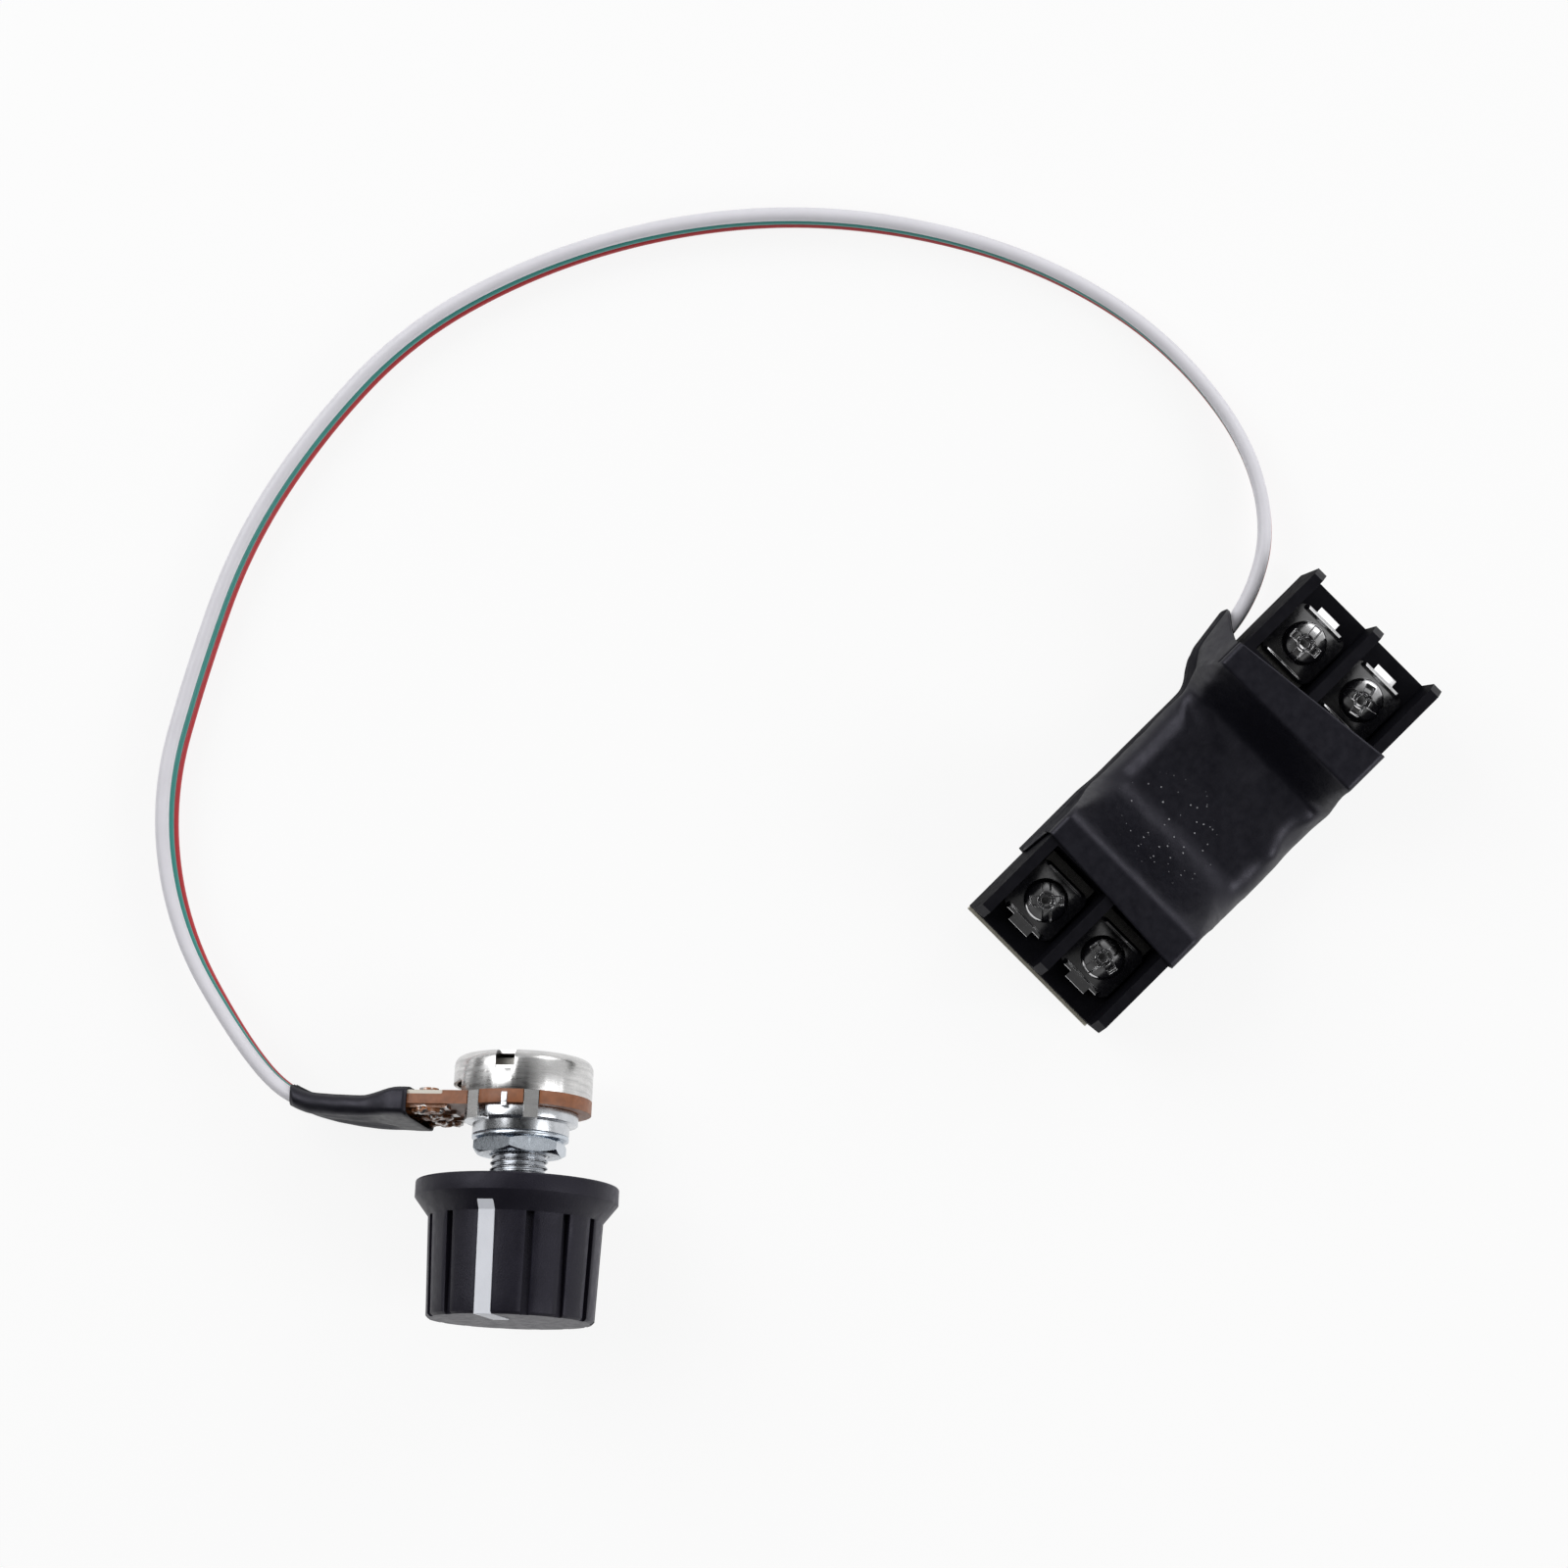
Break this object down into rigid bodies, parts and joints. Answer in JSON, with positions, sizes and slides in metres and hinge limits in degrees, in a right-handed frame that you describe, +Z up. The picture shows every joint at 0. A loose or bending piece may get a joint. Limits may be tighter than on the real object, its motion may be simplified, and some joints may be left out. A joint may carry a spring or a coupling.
{
  "type": "led dimmer",
  "caption": "Low-voltage LED strip dimmer: a wrapped control module with screw terminals at both ends, joined by a flat ribbon of wires to a panel potentiometer with a fluted knob.",
  "frame": {"origin": "middle of the module's underside, on the surface it lies on", "axes": "+X along the module towards the block whose end the ribbon leaves, +Y towards the ribbon's side, +Z up"},
  "size_m": [0.145, 0.1201, 0.0252],
  "materials": {
    "block_plastic": "moulded, slightly glossy black",
    "heat_shrink": "satin black shrink tube",
    "board_laminate": "pale laminate with a clear lacquer",
    "nickel_plate": "bright nickel",
    "tinned_brass": "tinned",
    "chip_plastic": "matt black moulding",
    "capacitor_can": "satin",
    "resistor_film": "glazed dark film",
    "ceramic_tan": "fired tan ceramic",
    "diode_glass": "clear orange glass",
    "solder_tin": "tinned copper strands",
    "tinplate": "drawn tinplate, fine scratches",
    "phenolic": "brown phenolic laminate",
    "zinc_casting": "bright zinc casting",
    "zinc_plate": "zinc plated steel",
    "shaft_metal": "turned, bright",
    "spring_steel": "spring steel",
    "rotor_plastic": "natural white moulding",
    "wiper_metal": "phosphor bronze",
    "knob_plastic": "satin black moulding",
    "pointer_white": "white inlay",
    "wire_white": "white insulation",
    "wire_green": "green insulation",
    "wire_red": "red insulation"
  },
  "bodies": {
    "base": {"circuit_board": "board_laminate", "output_terminal_block": "block_plastic", "input_terminal_block": "block_plastic", "module_wrap": "heat_shrink", "power_transistor": "chip_plastic", "supply_capacitor": "capacitor_can", "timer_chip": "chip_plastic", "flyback_diode": "chip_plastic", "resistors": "resistor_film", "timing_capacitors": "ceramic_tan", "steering_diodes": "diode_glass", "stripped_ends": "solder_tin", "wire_white": "wire_white", "wire_green": "wire_green", "wire_red": "wire_red", "lug_sleeve": "heat_shrink", "pot_can": "tinplate", "wafer": "phenolic", "lug_top": "solder_tin", "lug_middle": "solder_tin", "lug_bottom": "solder_tin", "threaded_bushing": "zinc_casting", "contact_strip_1": "tinned_brass", "contact_strip_2": "tinned_brass", "contact_strip_3": "tinned_brass", "contact_strip_4": "tinned_brass"},
    "knob_rotor": {"knob": "knob_plastic", "knob_pointer": "pointer_white", "pot_shaft": "shaft_metal", "wiper_rotor": "rotor_plastic", "wiper_contact": "wiper_metal", "shaft_clip": "spring_steel"},
    "washer": {"lock_washer": "zinc_plate"},
    "nut": {"panel_nut": "zinc_plate"},
    "clamp_1": {"clamp_plate_1": "nickel_plate"},
    "screw_1": {"terminal_screw_1": "nickel_plate"},
    "clamp_2": {"clamp_plate_2": "nickel_plate"},
    "screw_2": {"terminal_screw_2": "nickel_plate"},
    "clamp_3": {"clamp_plate_3": "nickel_plate"},
    "screw_3": {"terminal_screw_3": "nickel_plate"},
    "clamp_4": {"clamp_plate_4": "nickel_plate"},
    "screw_4": {"terminal_screw_4": "nickel_plate"}
  },
  "joints": [
    {"name": "knob_turn", "type": "hinge", "parent": "base", "child": "knob_rotor", "pos_m": [-0.09506, 0.01965, 0.01358], "axis": [0.707, 0.6593, -0.2559], "range_deg": [-53.8, 246.2]},
    {"name": "washer_slide", "type": "slide", "parent": "base", "child": "washer", "axis": [-0.707, -0.6593, 0.2559], "range_m": [0, 0.003]},
    {"name": "nut_turn", "type": "hinge", "parent": "washer", "child": "nut", "pos_m": [-0.08632, 0.02779, 0.01042], "axis": [-0.707, -0.6593, 0.2559], "range_deg": [0, 1440]},
    {"name": "clamp_lift_1", "type": "slide", "parent": "base", "child": "clamp_1", "axis": [0, 0, 1], "range_m": [0, 0.002]},
    {"name": "screw_turn_1", "type": "hinge", "parent": "clamp_1", "child": "screw_1", "pos_m": [0.0215, -0.00475, 0.0122], "axis": [0, 0, 1], "range_deg": [0, 1440]},
    {"name": "clamp_lift_2", "type": "slide", "parent": "base", "child": "clamp_2", "axis": [0, 0, 1], "range_m": [0, 0.002]},
    {"name": "screw_turn_2", "type": "hinge", "parent": "clamp_2", "child": "screw_2", "pos_m": [0.0215, 0.00475, 0.0122], "axis": [0, 0, 1], "range_deg": [0, 1440]},
    {"name": "clamp_lift_3", "type": "slide", "parent": "base", "child": "clamp_3", "axis": [0, 0, 1], "range_m": [0, 0.002]},
    {"name": "screw_turn_3", "type": "hinge", "parent": "clamp_3", "child": "screw_3", "pos_m": [-0.0215, 0.00475, 0.0122], "axis": [0, 0, 1], "range_deg": [0, 1440]},
    {"name": "clamp_lift_4", "type": "slide", "parent": "base", "child": "clamp_4", "axis": [0, 0, 1], "range_m": [0, 0.002]},
    {"name": "screw_turn_4", "type": "hinge", "parent": "clamp_4", "child": "screw_4", "pos_m": [-0.0215, -0.00475, 0.0122], "axis": [0, 0, 1], "range_deg": [0, 1440]}
  ],
  "couplings": [
    {"joint": "nut_turn", "follows": "washer_slide", "rad_per_m": 8377.6},
    {"joint": "screw_turn_1", "follows": "clamp_lift_1", "rad_per_m": 12566},
    {"joint": "screw_turn_2", "follows": "clamp_lift_2", "rad_per_m": 12566},
    {"joint": "screw_turn_3", "follows": "clamp_lift_3", "rad_per_m": 12566},
    {"joint": "screw_turn_4", "follows": "clamp_lift_4", "rad_per_m": 12566}
  ]
}
